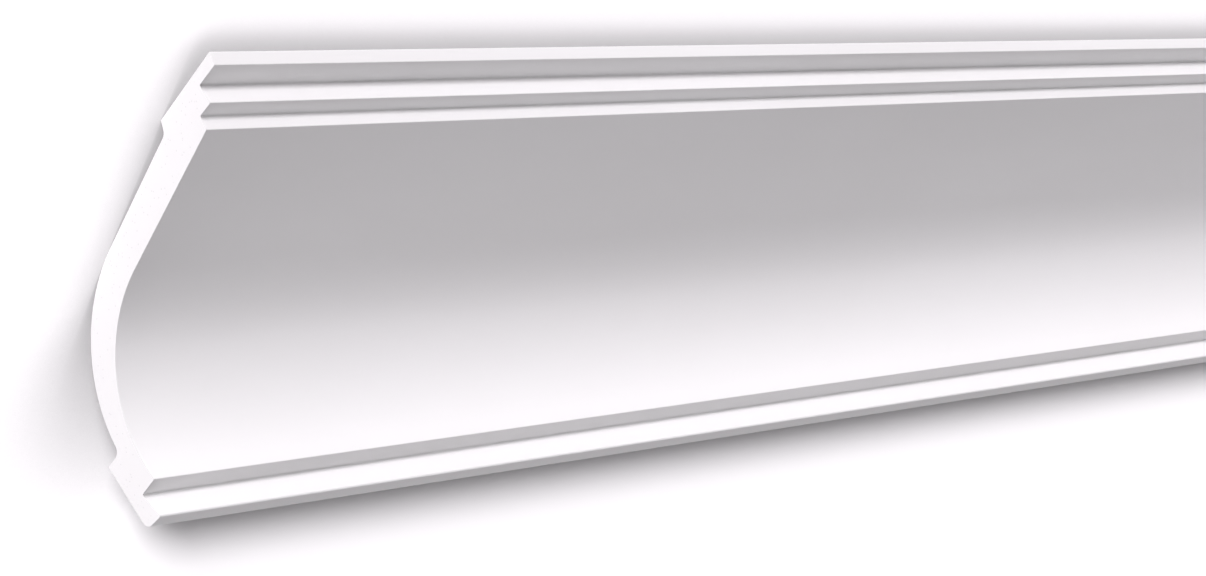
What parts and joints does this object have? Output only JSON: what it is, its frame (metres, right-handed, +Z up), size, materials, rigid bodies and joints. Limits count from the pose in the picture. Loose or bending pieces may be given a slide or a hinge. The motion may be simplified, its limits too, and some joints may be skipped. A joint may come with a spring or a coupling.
{
  "type": "cornice moulding",
  "caption": "Plain length of cornice moulding with a stepped top edge, a sweeping cove and a small band at its foot; flat beds for the ceiling and the wall on a hollow back.",
  "frame": {"origin": "centre of the bounding box in plan, on the floor that the length lies on", "axes": "+X along the length; +Y across the floor towards the edge that meets the ceiling; +Z up, which is where the moulded room side faces as the length lies on its back"},
  "size_m": [2, 0.1728, 0.0736],
  "materials": {
    "primed_foam": "smooth matt white primer over dense rigid foam, ready to paint"
  },
  "bodies": {
    "root": {"cornice_moulding": "primed_foam"}
  },
  "joints": []
}
